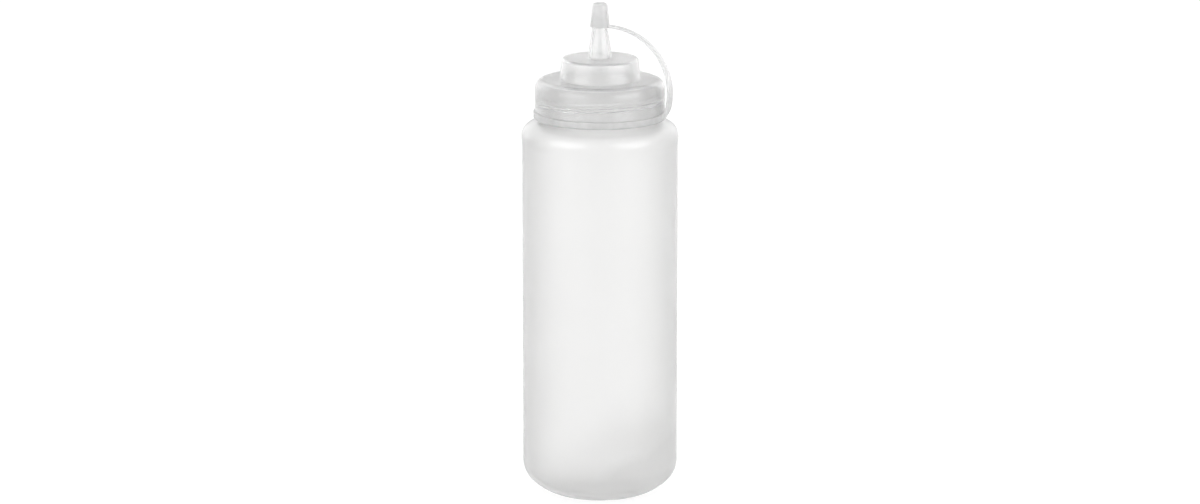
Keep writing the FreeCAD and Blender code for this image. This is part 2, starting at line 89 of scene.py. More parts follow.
def share(name, description, default):
    """A number from 0 to 1."""
    return FloatProperty(
        name=name, description=description, default=default, min=0.0, max=1.0, subtype="FACTOR",
    )


def angle(name, description, default):
    """An angle, given here in degrees."""
    return FloatProperty(
        name=name, description=description, default=radians(default),
        subtype="ANGLE", unit="ROTATION",
    )


def number(name, description, default):
    """A plain number."""
    return FloatProperty(name=name, description=description, default=default)


def count(name, description, default):
    """A whole number."""
    return IntProperty(name=name, description=description, default=default, min=1)


def colour(name, description, default):
    """A plain colour."""
    return FloatVectorProperty(
        name=name, description=description, default=default, size=3, min=0.0, max=1.0,
        subtype="COLOR",
    )


class BottleSizes(bpy.types.PropertyGroup):
    radius: length("Radius", "Radius of the shoulder, the widest part", BOTTLE_HIGH.x)
    mouth: length("Mouth", "Height of the mouth", BOTTLE_HIGH.z)
    neck_height: length("Neck", "Height of the neck above the shoulder", 18.7 * MM)
    neck_radius: length("Neck radius", "Outer radius of the neck", 29.9 * MM)
    neck_wall: length("Neck wall", "Thickness of the neck", 1.6 * MM)
    shoulder_radius: length("Shoulder curve", "Radius of the shoulder's curve", 6.85 * MM)
    shoulder_slope: angle("Shoulder slope", "Slope from the shoulder's curve to the neck", 24.0)
    panel_inset: length("Side inset", "How far the side lies inside the shoulder", 0.33 * MM)
    panel_fade: length("Side fade", "Height over which the side meets the shoulder", 4.6 * MM)
    heel_radius: length("Heel curve", "Radius of the heel's curve", 13.5 * MM)
    heel_height: length("Heel height", "Height where the heel's curve starts", 17.3 * MM)
    heel_sweep: angle("Heel sweep", "How far the heel turns before the flatter sole", 46.6)
    foot_inset: length("Foot inset", "From the side in to the circle it stands on", 19.8 * MM)
    foot_width: length("Foot width", "Width of the flat ring it stands on", 2.5 * MM)
    pushup: length("Push-up", "Height of the hollow under the base", 3.5 * MM)
    wall: length("Wall", "Thickness of the side", 1.1 * MM)
    base_wall: length("Base wall", "Thickness over the hollow", 1.6 * MM)
    foot_edge: length("Foot edge", "Rounding at both edges of the foot's ring", 0.8 * MM)
    neck_edge: length("Neck edge", "Rounding at the foot of the neck", 0.4 * MM)
    mouth_edge: length("Mouth edge", "Rounding inside the mouth", 0.4 * MM)
    bore_edge: length("Bore edge", "Rounding at the foot of the neck's bore", 1.0 * MM)
    floor_edge: length("Floor edge", "Rounding inside, round the hollow", 0.8 * MM)
    sole_edge: length("Sole edge", "Rounding inside, round the sole", 0.6 * MM)
    rim_play: length("Rim play", "From the mouth's rim to the lid's rounded corner", 0.1 * MM)
    seam_length: length("Seam length", "Length of the pinched seam across the hollow", 24.0 * MM)
    seam_width: length("Seam width", "Width of the seam", 1.2 * MM)
    seam_rise: length("Seam rise", "How far the seam stands out of the hollow", 0.5 * MM)
    seam_root: length("Seam root", "How deep the seam is rooted", 0.3 * MM)
    seam_turn: angle("Seam turn", "From the strap's side round to the seam", 54.0)


class ThreadSizes(bpy.types.PropertyGroup):
    depth: length("Depth", "Height of the ridge", 1.2 * MM)
    root: length("Root", "Width of the ridge at its root", 2.2 * MM)
    crest: length("Crest", "Width of the ridge at its crest", 1.0 * MM)
    pitch: length("Pitch", "Rise in one turn", 5.0 * MM)
    turns: number("Turns", "Turns of the ridge", 1.4)
    start: length("Start", "Height of its start above the foot of the neck", 8.0 * MM)
    play: length("Play", "From a crest to the wall across from it", 0.4 * MM)
    flank_play: length("Flank play", "Between the two ridges", 0.3 * MM)
    sink: length("Sink", "How deep the ridge is rooted in its wall", 0.3 * MM)
    soft: length("Edge", "Length of edge that the crest's rounding takes", 0.25 * MM)
    runout: count("Run-out", "Columns over which each end fades out", 12)


class LidSizes(bpy.types.PropertyGroup):
    radius: length("Radius", "Outer radius of the skirt", LID_HIGH.x)
    foot: length("Foot", "Height of the skirt's lower edge", LID_LOW.z)
    nozzle_top: length("Top", "Height of the nozzle's end", LID_HIGH.z)
    skirt_wall: length("Skirt wall", "Thickness of the skirt", 1.55 * MM)
    top_wall: length("Top wall", "Thickness of the top", 1.6 * MM)
    corner: length("Corner", "Radius of the corner between skirt and top", 4.7 * MM)
    step_radius: length("Step radius", "Radius of the step at its foot", 20.6 * MM)
    step_height: length("Step height", "Height of the step", 10.8 * MM)
    step_draft: length("Step draft", "How much narrower the step is at its top", 1.1 * MM)
    step_wall: length("Step wall", "Thickness of the step", 1.4 * MM)
    nozzle_radius: length("Nozzle radius", "Radius of the nozzle at its foot", 6.3 * MM)
    nozzle_tip: length("Nozzle tip", "Radius of the nozzle at its end", 2.26 * MM)
    nozzle_height: length("Nozzle height", "Height of the nozzle above the step", 24.8 * MM)
    nozzle_wall: length("Nozzle wall", "Thickness of the nozzle at its foot", 1.3 * MM)
    outlet: length("Outlet", "Radius of the hole in the nozzle's end", 1.2 * MM)
    lip_edge: length("Lip edge", "Rounding inside the skirt's lower edge", 0.25 * MM)
    foot_edge: length("Foot edge", "Rounding outside the skirt's lower edge", 0.4 * MM)
    step_foot_edge: length("Step foot edge", "Rounding round the step's foot", 0.9 * MM)
    step_edge: length("Step edge", "Rounding round the step's top", 1.6 * MM)
    nozzle_foot_edge: length("Nozzle foot edge", "Rounding round the nozzle's foot", 0.9 * MM)
    nozzle_end_edge: length("Nozzle end edge", "Rounding round the nozzle's end", 0.4 * MM)
    outlet_edge: length("Outlet edge", "Rounding round the hole", 0.15 * MM)
    step_inner_edge: length("Step inner edge", "Roundings under the step's top", 0.6 * MM)
    ceiling_edge: length("Ceiling edge", "Rounding under the step's foot", 0.4 * MM)


class CapSizes(bpy.types.PropertyGroup):
    top: length("Top", "Height of the cap's top", CAP_HIGH.z)
    ring_foot: length("Ring foot", "Height of the ring's lower face", CAP_LOW.z)
    ring_radius: length("Ring radius", "Outer radius of the ring", -CAP_LOW.x)
    ring_inner: length("Ring inside", "Inner radius of the ring", 30.4 * MM)
    ring_height: length("Ring height", "Height of the ring", 3.65 * MM)
    ring_chamfer: length("Ring chamfer", "Chamfer round the ring's lower edge", 0.8 * MM)
    grip: length("Grip", "Length of nozzle inside the cap", 9.0 * MM)
    headroom: length("Headroom", "Space over the nozzle's end", 1.8 * MM)
    wall: length("Wall", "Thickness of the cap's side", 1.15 * MM)
    draft: length("Draft", "How much narrower the cap is at its top", 1.3 * MM)
    fit: length("Fit", "Play between cap and nozzle", 0.1 * MM)
    crown: length("Crown", "Rounding round the cap's top", 1.0 * MM)
    bore_edge: length("Bore edge", "Roundings at both ends of the cap's bore", 0.2 * MM)
    foot_edge: length("Foot edge", "Rounding round the cap's foot", 0.25 * MM)
    ring_edge: length("Ring edge", "Roundings round the ring's top", 0.25 * MM)
    ring_lip_edge: length("Ring lip edge", "Rounding inside the ring's foot", 0.3 * MM)
    strap: length("Strap", "Thickness of the strap", 1.2 * MM)
    strap_edge: length("Strap edge", "Rounding along the strap", 0.3 * MM)
    strap_root: length("Strap root", "Width of the strap at the ring", 9.5 * MM)
    strap_tip: length("Strap tip", "Width of the strap at the cap", 3.6 * MM)
    strap_drop: length("Strap drop", "How far its lower face lies under the cap's foot", 0.25 * MM)
    strap_bow: length("Strap bow", "How far it arches off its chord", 11.96 * MM)
    strap_flare: length("Strap flare", "From the ring out to the strap's bend", 2.2 * MM)
    strap_lift: length("Strap lift", "From the ring's foot up to the strap's bend", 7.5 * MM)
    strap_sink: length("Strap sink", "How far the strap runs into the ring", 1.05 * MM)
    strap_seat: length("Strap seat", "From the ring's foot to the strap's end", 1.3 * MM)


class PlasticLooks(bpy.types.PropertyGroup):
    bottle: colour("Bottle", "Colour of the bottle's plastic", (0.96, 0.959, 0.956))
    bottle_milk: share("Bottle milk", "Share of light that each face of the bottle scatters", 0.05)
    bottle_roughness: share("Bottle roughness", "Roughness of the blown plastic", 0.33)
    lid: colour("Lid", "Colour of the lid's plastic", (0.97, 0.97, 0.97))
    cap: colour("Cap", "Colour of the cap's plastic", (0.915, 0.915, 0.915))
    lid_milk: share("Lid milk", "Share of light that each face of the lid scatters", 0.2)
    cap_milk: share("Cap milk", "Share of light that each face of the cap scatters", 0.75)
    lid_roughness: share("Lid roughness", "Roughness of the moulded plastic", 0.25)
    bottle_shine: share("Bottle shine", "Strength of the bottle's clear reflections", 0.25)
    lid_shine: share("Lid shine", "Strength of the lid's and the cap's clear reflections", 0.3)
    shine_roughness: share("Shine roughness", "Roughness of the clear reflections", 0.09)
    blown_ior: number("Blown index", "Refractive index of the blown plastic", 1.5)
    moulded_ior: number("Moulded index", "Refractive index of the moulded plastic", 1.45)
    glow: share("Glow", "Share of the scattered light that goes through", 0.5)
    cloud: share("Cloud", "How much the scattering varies from place to place", 0.35)
    cloud_scale: number("Cloud scale", "Clouds to a metre", 55.0)
    bottle_satin: share("Bottle satin", "How much the blown plastic's roughness varies", 0.03)
    lid_satin: share("Lid satin", "How much the moulded plastic's roughness varies", 0.01)
    grain: share("Grain", "Strength of the surface's grain", 0.12)
    grain_depth: length("Grain depth", "Depth of the surface's grain", 0.1 * MM)
    grain_scale: number("Grain scale", "Grains to a metre", 1400.0)
    lines: number("Draw lines", "Depth of the upright lines in blown plastic, in grains", 3.0)
    line_scale: number("Line scale", "Draw lines to a metre", 220.0)
    line_stretch: share("Line stretch", "How fast the draw lines change along their length", 0.05)
    base_milk: share("Base milk", "Scattering added where the base is thicker", 0.25)
    # Painted shade: darkens the colour of the slanting zone near the base, where the plastic is
    # also thicker and milkier.
    base_painted_shade: share("Base shade", "How much darker the thicker base is", 0.08)
    base_level: length("Base level", "Height where the thicker base starts", 21.0 * MM)
    base_foot: length("Base foot", "Height where the thicker base ends", 6.0 * MM)
    base_fade: length("Base fade", "Height over which the base grows thicker", 6.0 * MM)
    base_rise: length("Base rise", "Height over which its foot fades in", 8.4 * MM)
    base_slope: angle("Base slope", "Slope of the thicker base's upper edge", 27.0)
    base_turn: angle("Base turn", "Which way the thicker base rises", 16.0)


class StageLooks(bpy.types.PropertyGroup):
    floor: colour("Floor", "Colour of the floor", (0.8, 0.8, 0.8))
    floor_radius: length("Floor radius", "Radius of the floor", 12.0)
    floor_glow: share("Floor glow", "White of the floor in its darkest shadow", 0.84)
    floor_shadow: share("Floor shadow", "How much of the floor's white a shadow can take", 0.22)
    bounces: count("Bounces", "How often light may cross the layers of plastic", 20)
    ambient: share("Ambient", "Strength of the light from all sides", 0.7)
    overhead: share("Overhead", "Strength of the light from overhead", 0.6)
    softbox: number("Softboxes", "Power of each front lamp, in watts", 16.0)
    back_share: share("Back share", "Power of a back lamp as a share of a front lamp's", 0.3)
    front_turn: angle("Front turn", "From the camera's side round to a front lamp", 52.0)
    back_turn: angle("Back turn", "From the camera's side round to a back lamp", 140.0)
    lamp_reach: length("Lamp reach", "From the bottle's axis out to a lamp", 1.6)
    lamp_height: length("Lamp height", "Height of a lamp's middle", 0.65)
    lamp_width: length("Lamp width", "Width of a lamp", 1.6)
    lamp_depth: length("Lamp depth", "Height of a lamp's face", 1.3)
    lamp_aim: length("Lamp aim", "Height that the lamps face", 0.12)
    turn: angle("Turn", "Which way the camera looks at the bottle, from straight ahead", 16.0)
    pitch: angle("Pitch", "How far the camera looks down", 12.6)
    distance: length("Distance", "From the camera to the bottle", 2.4)
    aim: length("Aim", "Height that the camera looks at", 0.1263)
    lens: number("Lens", "Focal length in millimetres", 140.45)
    sensor: number("Sensor", "Width of the camera's sensor in millimetres", 36.0)


def select_vertices(test):
    """Selects the vertices of the piece in hand whose places pass the test."""
    bpy.ops.mesh.select_mode(type="VERT")
    bpy.ops.mesh.select_all(action="DESELECT")
    bpy.ops.object.mode_set(mode="OBJECT")
    mesh = bpy.context.object.data
    for vertex in mesh.vertices:
        vertex.select = test(vertex.co)
    found = any(vertex.select for vertex in mesh.vertices)
    bpy.ops.object.mode_set(mode="EDIT")
    if not found:
        raise RuntimeError(f"{bpy.context.object.name}: no vertex passed the test")


def start_outline(name, x, z):
    """A new piece in edit mode, with one vertex at (x, 0, z)."""
    bpy.ops.object.select_all(action="DESELECT")
    bpy.ops.mesh.primitive_circle_add(vertices=3, radius=MM, enter_editmode=True)
    piece = bpy.context.object
    piece.name = piece.data.name = name
    bpy.ops.mesh.select_mode(type="VERT")
    bpy.ops.mesh.select_all(action="SELECT")
    bpy.ops.transform.translate(value=(x, 0, z))
    bpy.ops.mesh.merge(type="CENTER")
    return piece


def arc_centre(start, end, radius, turn):
    """Centre of the short arc from start to end, which turns left for +1 and right for -1."""
    across, up = end[0] - start[0], end[1] - start[1]
    chord = hypot(across, up)
    reach = turn * sqrt(radius ** 2 - chord ** 2 / 4) / chord
    return (start[0] + end[0]) / 2 - up * reach, (start[1] + end[1]) / 2 + across * reach


def draw_outline(name, corners, soft=()):
    """Draws a piece's section from corner to corner, in the XZ plane.

    A corner that ends an arc also gives the arc's radius and its turn, +1 left or -1 right.
    Each soft corner is a place and the length of edge that its rounding takes.
    """
    here = corners[0]
    piece = start_outline(name, *here)
    for x, z, *bend in corners[1:]:
        if bend:
            radius, turn = bend
            centre_x, centre_z = arc_centre(here, (x, z), radius, turn)
            sweep = 2 * asin(hypot(x - here[0], z - here[1]) / 2 / radius)
            bpy.ops.mesh.spin(
                steps=max(3, ceil(degrees(sweep) / ARC_STEP)), angle=sweep * turn,
                center=(centre_x, 0, centre_z), axis=(0, 1, 0),
            )
        else:
            bpy.ops.mesh.extrude_vertices_move(
                TRANSFORM_OT_translate={"value": (x - here[0], 0, z - here[1])}
            )
        here = (x, z)
    bpy.ops.mesh.select_all(action="SELECT")
    bpy.ops.mesh.remove_doubles(threshold=NEAR)
    for x, z, size in soft:
        select_vertices(lambda place: hypot(place.x - x, place.z - z) < AT_CORNER)
        bpy.ops.mesh.bevel(offset=size, segments=SOFT_CUTS, affect="VERTICES")
    return piece


def close_up():
    """Merges the doubles of the piece in hand, turns its faces outwards and leaves edit mode."""
    bpy.ops.mesh.select_all(action="SELECT")
    bpy.ops.mesh.remove_doubles(threshold=NEAR)
    bpy.ops.mesh.normals_make_consistent(inside=False)
    bpy.ops.object.mode_set(mode="OBJECT")


def turn_outline():
    """Turns the section in hand once round the bottle's axis."""
    bpy.ops.mesh.select_all(action="SELECT")
    bpy.ops.mesh.spin(steps=ROUND, angle=FULL_TURN, center=(0, 0, 0), axis=(0, 0, 1))
    close_up()


def apply_modifier(piece, kind, **settings):
    """Adds one modifier with its settings and applies it."""
    bpy.ops.object.select_all(action="DESELECT")
    piece.select_set(True)
    bpy.context.view_layer.objects.active = piece
    modifier = piece.modifiers.new(kind.title(), kind)
    for name, value in settings.items():
        setattr(modifier, name, value)
    bpy.ops.object.modifier_apply(modifier=modifier.name)


def weld(piece, *others):
    """Unites other solids with a piece, and deletes them."""
    for other in others:
        apply_modifier(piece, "BOOLEAN", operation="UNION", solver="EXACT", object=other)
        bpy.data.objects.remove(other)


def thread_ridge(name, wall, side, height, thread):
    """A ridge wound up round the axis on a wall, outwards for side +1 and inwards for -1."""
    half_root, half_crest = thread.root / 2, thread.crest / 2
    flare = (half_root - half_crest) * thread.sink / thread.depth
    crest = wall + side * thread.depth
    sunk = wall - side * thread.sink
    ridge = draw_outline(name, [
        (sunk, height - half_root - flare),
        (crest, height - half_crest),
        (crest, height + half_crest),
        (sunk, height + half_root + flare),
        (sunk, height - half_root - flare),
    ], soft=[
        (crest, height - half_crest, thread.soft),
        (crest, height + half_crest, thread.soft),
    ])
    bpy.ops.object.mode_set(mode="OBJECT")
    steps = round(ROUND * thread.turns)
    apply_modifier(
        ridge, "SCREW", axis="Z", angle=FULL_TURN * thread.turns,
        screw_offset=thread.pitch * thread.turns, steps=steps, render_steps=steps,
    )
    bpy.ops.object.mode_set(mode="EDIT")
    bpy.ops.mesh.select_mode(type="EDGE")
    bpy.ops.mesh.select_all(action="DESELECT")
    bpy.ops.mesh.select_non_manifold()
    bpy.ops.mesh.fill_holes(sides=0)
    for column in range(thread.runout):
        left = 1 - (1 - column / thread.runout) ** 2
        faded = wall + side * thread.depth * left
        for turned in (column, steps - column):
            turns = turned / ROUND
            around = FULL_TURN * turns
            spot = Vector((
                crest * cos(around), crest * sin(around), height + thread.pitch * turns,
            ))
            select_vertices(lambda place: (place - spot).length < RUNOUT_REACH * thread.depth)
            bpy.ops.transform.resize(
                value=(faded / crest, faded / crest, 1), center_override=(0, 0, 0),
            )
    close_up()
    return ridge


def finish_piece(piece, nodes, material):
    """Smooths a finished piece and ties it to the frame."""
    bpy.ops.object.select_all(action="DESELECT")
    piece.select_set(True)
    bpy.context.view_layer.objects.active = piece
    bpy.ops.object.shade_smooth_by_angle(angle=SMOOTH_BELOW)
    piece.data.materials.clear()
    piece.data.materials.append(material)
    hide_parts(*nodes)
    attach(piece, "root")


def bottle_levels(size):
    """Places that follow from the bottle's sizes."""
    at = SimpleNamespace()
    at.side = size.radius - size.panel_inset
    at.inner = at.side - size.wall
    at.bore = size.neck_radius - size.neck_wall
    at.neck_foot = size.mouth - size.neck_height
    curve, slope = size.shoulder_radius, size.shoulder_slope
    at.shoulder_x = size.radius - curve
    at.slope_x = at.shoulder_x + curve * sin(slope)
    at.slope_z = at.neck_foot - (at.slope_x - size.neck_radius) * tan(slope)
    at.shoulder_z = at.slope_z - curve * cos(slope)
    at.inner_curve = curve - size.wall
    at.inner_slope_x = at.shoulder_x + at.inner_curve * sin(slope)
    at.inner_slope_z = at.shoulder_z + at.inner_curve * cos(slope)
    at.bore_foot = at.inner_slope_z + (at.inner_slope_x - at.bore) * tan(slope)
    at.heel_x = at.side - size.heel_radius
    across, down = cos(size.heel_sweep), -sin(size.heel_sweep)
    at.heel_end = (
        at.heel_x + size.heel_radius * across,
        size.heel_height + size.heel_radius * down,
    )
    at.foot = at.side - size.foot_inset
    at.pushup = at.foot - size.foot_width
    foot_dx = at.foot - at.heel_x
    reach = foot_dx * across - size.heel_height * down
    shift = (foot_dx ** 2 + size.heel_height ** 2 - size.heel_radius ** 2) / (
        2 * (size.heel_radius - reach)
    )
    at.sole = size.heel_radius + shift
    at.sole_x = at.heel_x - shift * across
    at.sole_z = size.heel_height - shift * down
    at.inner_heel = size.heel_radius - size.wall
    at.inner_heel_end = (
        at.heel_x + at.inner_heel * across,
        size.heel_height + at.inner_heel * down,
    )
    at.inner_sole = at.sole - size.wall
    at.inner_foot = at.sole_x + sqrt(at.inner_sole ** 2 - (at.sole_z - size.wall) ** 2)
    at.dome = (at.pushup ** 2 + size.pushup ** 2) / (2 * size.pushup)
    at.dome_z = size.pushup - at.dome
    at.inner_dome = at.dome + size.base_wall
    at.floor = sqrt(at.inner_dome ** 2 - (size.wall - at.dome_z) ** 2)
    at.fade = (size.panel_inset ** 2 + size.panel_fade ** 2) / (4 * size.panel_inset)
    return at


class MESH_OT_bottle(bpy.types.Operator):
    """Models the hollow bottle with its curved base, shoulder and threaded neck"""

    bl_idname = "mesh.squeeze_bottle"
    bl_label = "Bottle"

    def execute(self, context):
        size, thread = context.scene.bottle_sizes, context.scene.thread_sizes
        lid = context.scene.lid_sizes
        at = bottle_levels(size)
        gap = thread.play + thread.depth
        inner_corner = lid.corner - lid.skirt_wall
        rim_x = size.neck_radius + gap - inner_corner
        rim_round = inner_corner - size.rim_play
        rim_z = size.mouth - rim_round
        rim_foot = rim_z + sqrt(rim_round ** 2 - (size.neck_radius - rim_x) ** 2)
        middle_x = at.side + size.panel_inset / 2
        middle_z = at.shoulder_z - size.panel_fade / 2
        piece = draw_outline("bottle_body", [
            (0, size.pushup),
            (at.pushup, 0, at.dome, -1),
            (at.foot, 0),
            (*at.heel_end, at.sole, 1),
            (at.side, size.heel_height, size.heel_radius, 1),
            (at.side, at.shoulder_z - size.panel_fade),
            (middle_x, middle_z, at.fade, -1),
            (size.radius, at.shoulder_z, at.fade, 1),
            (at.slope_x, at.slope_z, size.shoulder_radius, 1),
            (size.neck_radius, at.neck_foot),
            (size.neck_radius, rim_foot),
            (rim_x, size.mouth, rim_round, 1),
            (at.bore, size.mouth),
            (at.bore, at.bore_foot),
            (at.inner_slope_x, at.inner_slope_z),
            (size.radius - size.wall, at.shoulder_z, at.inner_curve, -1),
            (middle_x - size.wall, middle_z, at.fade, -1),
            (at.inner, at.shoulder_z - size.panel_fade, at.fade, 1),
            (at.inner, size.heel_height),
            (*at.inner_heel_end, at.inner_heel, -1),
            (at.inner_foot, size.wall, at.inner_sole, -1),
            (at.floor, size.wall),
            (0, size.pushup + size.base_wall, at.inner_dome, 1),
        ], soft=[
            (at.pushup, 0, size.foot_edge),
            (at.foot, 0, size.foot_edge),
            (size.neck_radius, at.neck_foot, size.neck_edge),
            (at.bore, size.mouth, size.mouth_edge),
            (at.bore, at.bore_foot, size.bore_edge),
            (at.floor, size.wall, size.floor_edge),
            (at.inner_foot, size.wall, size.sole_edge),
        ])
        turn_outline()
        height = at.neck_foot + thread.start
        ridge = thread_ridge("neck_ridge", size.neck_radius, 1, height, thread)
        weld(piece, ridge, self.seam(size, at))
        looks = context.scene.plastic_looks
        material = plastic(
            "blown_plastic", looks.bottle, looks.bottle_roughness, looks.bottle_milk, looks, True
        )
        finish_piece(piece, ["bottle"], material)
        return {"FINISHED"}

    def seam(self, size, at):
        """The pinched seam, which follows the hollow under the base."""
        half = size.seam_length / 2
        low, high = at.dome - size.seam_rise, at.dome + size.seam_root
        low_z = at.dome_z + sqrt(low ** 2 - half ** 2)
        high_z = at.dome_z + sqrt(high ** 2 - half ** 2)
        seam = draw_outline("bottle_seam", [
            (half, high_z),
            (-half, high_z, high, 1),
            (-half, low_z),
            (half, low_z, low, -1),
            (half, high_z),
        ])
        bpy.ops.mesh.select_all(action="SELECT")
        bpy.ops.mesh.edge_face_add()
        bpy.ops.transform.translate(value=(0, -size.seam_width / 2, 0))
        bpy.ops.mesh.extrude_region_move(TRANSFORM_OT_translate={"value": (0, size.seam_width, 0)})
        bpy.ops.mesh.select_all(action="SELECT")
        bpy.ops.transform.rotate(value=-size.seam_turn, orient_axis="Z", center_override=(0, 0, 0))
        close_up()
        return seam


class MESH_OT_screw_lid(bpy.types.Operator):
    """Models the screw lid with its stepped top, nozzle and inner thread"""

    bl_idname = "mesh.squeeze_bottle_lid"
    bl_label = "Screw lid"

    def execute(self, context):
        size, thread = context.scene.lid_sizes, context.scene.thread_sizes
        bottle = context.scene.bottle_sizes
        inside = size.radius - size.skirt_wall
        inner_corner = size.corner - size.skirt_wall
        step_top = size.nozzle_top - size.nozzle_height
        top = step_top - size.step_height
        ceiling = top - size.top_wall
        step_ceiling = step_top - size.step_wall
        step_end = size.step_radius - size.step_draft
        piece = draw_outline("lid_body", [
            (inside, size.foot),
            (size.radius, size.foot),
            (size.radius, top - size.corner),
            (size.radius - size.corner, top, size.corner, 1),
            (size.step_radius, top),
            (step_end, step_top),
            (size.nozzle_radius, step_top),
            (size.nozzle_tip, size.nozzle_top),
            (size.outlet, size.nozzle_top),
            (size.nozzle_radius - size.nozzle_wall, step_ceiling),
            (step_end - size.step_wall, step_ceiling),
            (size.step_radius - size.step_wall, ceiling),
            (inside - inner_corner, ceiling),
            (inside, ceiling - inner_corner, inner_corner, -1),
            (inside, size.foot),
        ], soft=[
            (inside, size.foot, size.lip_edge),
            (size.radius, size.foot, size.foot_edge),
            (size.step_radius, top, size.step_foot_edge),
            (step_end, step_top, size.step_edge),
            (size.nozzle_radius, step_top, size.nozzle_foot_edge),
            (size.nozzle_tip, size.nozzle_top, size.nozzle_end_edge),
            (size.outlet, size.nozzle_top, size.outlet_edge),
            (size.nozzle_radius - size.nozzle_wall, step_ceiling, size.step_inner_edge),
            (step_end - size.step_wall, step_ceiling, size.step_inner_edge),
            (size.step_radius - size.step_wall, ceiling, size.ceiling_edge),
        ])
        turn_outline()
        neck_foot = bottle.mouth - bottle.neck_height
        height = neck_foot + thread.start - thread.root - thread.flank_play
        weld(piece, thread_ridge("lid_ridge", inside, -1, height, thread))
        looks = context.scene.plastic_looks
        material = plastic(
            "moulded_plastic", looks.lid, looks.lid_roughness, looks.lid_milk, looks, False
        )
        finish_piece(piece, ["screw_lid"], material)
        return {"FINISHED"}


class MESH_OT_tip_cap(bpy.types.Operator):
    """Models the tip cap, the strap that holds it and the ring under the lid"""

    bl_idname = "mesh.squeeze_bottle_cap"
    bl_label = "Tip cap"

    def execute(self, context):
        size, lid = context.scene.cap_sizes, context.scene.lid_sizes
        taper = (lid.nozzle_radius - lid.nozzle_tip) / lid.nozzle_height
        foot = lid.nozzle_top - size.grip
        bore_end = lid.nozzle_top + size.headroom
        bore_tip = lid.nozzle_tip + size.fit - taper * size.headroom
        bore = lid.nozzle_tip + size.fit + taper * size.grip
        outside = bore + size.wall
        cap = draw_outline("cap_body", [
            (0, bore_end),
            (bore_tip, bore_end),
            (bore, foot),
            (outside, foot),
            (outside - size.draft, size.top),
            (0, size.top),
        ], soft=[
            (bore_tip, bore_end, size.bore_edge),
            (bore, foot, size.bore_edge),
            (outside, foot, size.foot_edge),
            (outside - size.draft, size.top, size.crown),
        ])
        turn_outline()
        ring_top = size.ring_foot + size.ring_height
        ring = draw_outline("cap_ring", [
            (size.ring_inner, size.ring_foot),
            (size.ring_radius - size.ring_chamfer, size.ring_foot),
            (size.ring_radius, size.ring_foot + size.ring_chamfer),
            (size.ring_radius, ring_top),
            (size.ring_inner, ring_top),
            (size.ring_inner, size.ring_foot),
        ], soft=[
            (size.ring_inner, size.ring_foot, size.ring_lip_edge),
            (size.ring_radius, ring_top, size.ring_edge),
            (size.ring_inner, ring_top, size.ring_edge),
        ])
        turn_outline()
        strap = self.strap(size, outside - size.wall / 2, foot + size.strap / 2 - size.strap_drop)
        weld(cap, strap, ring)
        looks = context.scene.plastic_looks
        material = plastic(
            "cap_plastic", looks.cap, looks.lid_roughness, looks.cap_milk, looks, False
        )
        finish_piece(cap, ["tip_cap"], material)
        return {"FINISHED"}

    def strap(self, size, tip_x, tip_z):
        """The flat strap: a wide arch from the cap to a bend, and a tighter hook into the ring."""
        bend_x, bend_z = size.ring_radius + size.strap_flare, size.ring_foot + size.strap_lift
        root_x, root_z = size.ring_radius - size.strap_sink, size.ring_foot + size.strap_seat
        chord = hypot(bend_x - tip_x, bend_z - tip_z)
        arch = (chord ** 2 / 4 + size.strap_bow ** 2) / (2 * size.strap_bow)
        arch_x, arch_z = arc_centre((tip_x, tip_z), (bend_x, bend_z), arch, -1)
        out_x, out_z = (bend_x - arch_x) / arch, (bend_z - arch_z) / arch
        fall_x, fall_z = bend_x - root_x, bend_z - root_z
        hook = (fall_x ** 2 + fall_z ** 2) / (2 * (fall_x * out_x + fall_z * out_z))
        hook_x, hook_z = bend_x - hook * out_x, bend_z - hook * out_z

        def width(z):
            narrowing = (size.strap_tip - size.strap_root) / (tip_z - root_z)
            return size.strap_root + narrowing * (z - root_z)

        start = atan2(tip_z - arch_z, tip_x - arch_x)
        bend = atan2(out_z, out_x)
        end = atan2(root_z - hook_z, root_x - hook_x)
        inner = arch - size.strap / 2
        start_x, start_z = arch_x + inner * cos(start), arch_z + inner * sin(start)
        piece = start_outline("cap_strap", start_x, start_z)
        half = width(tip_z) / 2
        bpy.ops.transform.translate(value=(0, -half, 0))
        bpy.ops.mesh.extrude_vertices_move(TRANSFORM_OT_translate={"value": (0, 2 * half, 0)})
        bpy.ops.mesh.select_all(action="SELECT")
        bpy.ops.mesh.extrude_region_move(TRANSFORM_OT_translate={
            "value": (size.strap * cos(start), 0, size.strap * sin(start)),
        })
        bpy.ops.mesh.select_all(action="SELECT")
        z, turned = tip_z, start
        for x_centre, z_centre, radius, stop, steps in (
            (arch_x, arch_z, arch, bend, ARCH_STEPS), (hook_x, hook_z, hook, end, HOOK_STEPS),
        ):
            step = (stop - turned) / steps
            for _ in range(steps):
                bpy.ops.mesh.spin(
                    steps=1, angle=step, center=(x_centre, 0, z_centre), axis=(0, 1, 0),
                )
                turned += step
                after = z_centre + radius * sin(turned)
                bpy.ops.transform.resize(
                    value=(1, width(after) / width(z), 1), center_override=(0, 0, 0),
                )
                z = after
        close_up()
        apply_modifier(
            piece, "BEVEL", width=size.strap_edge, segments=STRAP_CUTS,
            limit_method="ANGLE", angle_limit=STRAP_CORNER,
        )
        return piece


def add_node(tree, kind, **sockets):
    """A node with values or links given to its input sockets by name."""
    node = tree.nodes.new(kind)
    for name, value in sockets.items():
        socket = node.inputs[name.replace("_", " ")]
        if isinstance(value, bpy.types.NodeSocket):
            tree.links.new(value, socket)
        else:
            socket.default_value = value
    return node


def calculate(tree, operation, *terms):
    """The output of one Math node, with numbers or links as its inputs."""
    node = tree.nodes.new("ShaderNodeMath")
    node.operation = operation
    for socket, term in zip(node.inputs, terms):
        if isinstance(term, bpy.types.NodeSocket):
            tree.links.new(term, socket)
        else:
            socket.default_value = term
    return node.outputs[0]


